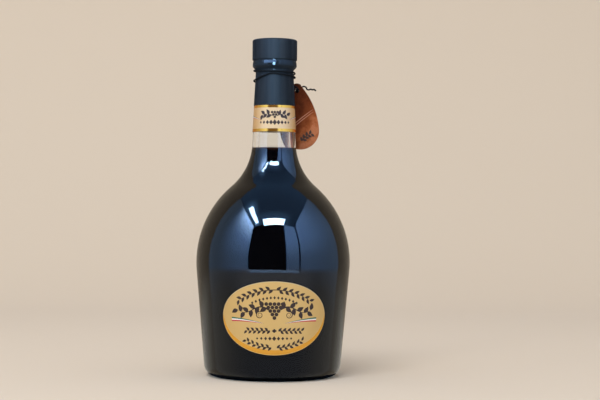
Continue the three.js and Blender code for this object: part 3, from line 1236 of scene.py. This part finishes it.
def roomGlow():
    # light by direction, as from a plain room with walls, a ceiling and a dark doorway
    fixed = {"Base Color": (0, 0, 0), "Specular IOR Level": 0.0, "Emission Strength": room["strength"]}
    material, shader, start = finish("roomGlow", fixed)

    def most(one, other):
        return start.maths("MAXIMUM", one, other)

    def size(value):
        return start.maths("ABSOLUTE", value)

    axes = start.node("ShaderNodeTexCoord").out("Object").parts()
    x = axes.out("X") / room["radius"]
    y = axes.out("Y") / room["radius"]
    z = (axes.out("Z") - room["eye"]) / room["radius"]
    turn = start.maths("ARCTAN2", x, 0 - y) * (180 / pi)
    rise = start.maths("ARCSINE", axes.out("Z") / room["radius"]) * (180 / pi)

    # the ceiling, brighter round its lamps
    side = most(x / room["right"], 0 - x / room["left"])
    end = most(y / room["back"], 0 - y / room["front"])
    ceiling = (z - most(side, end)).between(-0.006, 0.006)
    across = x / most(z, 0.01)
    along = y / most(z, 0.01)
    nearStrip = (1 - size(across + 0.585).between(0.02, 0.24)) * (1 - size(along + 0.6).between(0.3, 0.6))
    nearPanel = (1 - size(along + 0.89).between(0.1, 0.42)) * (1 - size(across).between(0.3, 0.6))
    over = most(nearStrip, nearPanel * 0.5).blend(room["ceilingColour"], room["haloColour"])

    # the walls, lit beside the doorway and washed from above
    first, last = room["doorTurn"]
    away = size(turn - (first + last) / 2) - (last - first) / 2
    span = 1 - away.between(-1, 1)
    reach = 62 + 48 * x.between(-0.05, 0.05)
    glow = (1 - (away / reach).between(0, 1)) * (0.35 + 0.75 * rise.between(0, 32))
    wall = glow.blend(room["wallColour"], room["glowColour"])
    high = z / most(size(x), 0.01)
    deep = y / most(size(x), 0.01)
    wash = high.between(0.3, 1.35) ** 2 * (1 - size(deep + 0.8).between(0.2, 0.75))
    wash = wash * (1 - 0.97 * x.between(-0.05, 0.05))
    wall = wash.blend(wall, room["washColour"])
    corner = size(x + y * 0.82).between(0.014, 0.04)
    wall = corner.blend(room["doorColour"], wall)
    front = span.blend(wall, room["doorColour"])

    # what lies below the sill, and the back of the room
    wide = size(turn)
    low = wide.between(30, 105).blend(room["lowColour"], room["lowSideColour"])
    ledge = rise.between(-15, -12.4) * (1 - wide.between(40, 75))
    low = ledge.blend(low, room["ledgeColour"])
    sharp = rise.between(room["sillRise"] - 0.5, room["sillRise"] + 0.5)
    front = (rise.between(-11, -3) * (1 - span) + sharp * span).blend(low, front)
    sill = (1 - size(rise - room["sillRise"] + 1.6).between(0.7, 1.9)) * (1 - wide.between(32, 42))
    front = sill.blend(front, room["sillColour"])
    sides = (y / room["back"] - side).between(-0.05, 0.05).blend(front, room["backColour"])
    bench = y.between(0.1, 0.8) * (1 - rise.between(-8, -5)) * rise.between(-24, -13)
    sides = bench.blend(sides, room["benchColour"])
    cornice = size(z - most(side, end)).between(0.004, 0.02) * 0.6 + 0.4
    lit = ceiling.blend(sides, over)
    vary(shader, Emission_Color=cornice.blend(room["doorColour"], lit))
    material.cycles.emission_sampling = "NONE"
    return material


def makeRoom():
    profile = arc((0, 0), room["radius"] / mm, -pi / 2, pi / 2, 48)
    dome = meshPiece("reflectedRoom", *turned([(abs(r), z) for r, z in profile], 96))
    dome.data.materials.append(roomGlow())
    hideFrom(dome, "camera", "diffuse", "transmission", "shadow")


def makeLights():
    for name, lamp in lamps.items():
        light = bpy.data.lights.new(name, "AREA")
        light.shape = "RECTANGLE"
        light.size, light.size_y = lamp["size"]
        light.color = lamp["colour"]
        light.energy = lamp["watts"]
        stand = addObject(name, light)
        stand.location = lamp["at"]
        if "aim" in lamp:  # the others hang flat and face down
            back = Vector(lamp["at"]) - Vector(lamp["aim"])
            stand.rotation_euler = back.to_track_quat("Z", "Y").to_euler()
        unseen = "glossy" if lamp.get("lights") else "diffuse"  # most lamps only shine in reflections
        hideFrom(stand, "camera", "transmission", unseen)
        if "only" in lamp:
            lit = bpy.data.collections.new(name + "Only")
            lit.objects.link(bpy.data.objects[lamp["only"]])
            stand.light_linking.receiver_collection = lit


def makeSky():
    world = bpy.data.worlds.new("sky")
    world.use_nodes = True
    world.node_tree.nodes["Background"].inputs["Color"].default_value = (*studio["sky"], 1)
    world.cycles_visibility.glossy = False
    bpy.context.scene.world = world
    bpy.context.scene.view_settings.view_transform = "Standard"


makeRoom()
makeSweep()
makeShade()
makeLights()
makeSky()
print("studio lit")
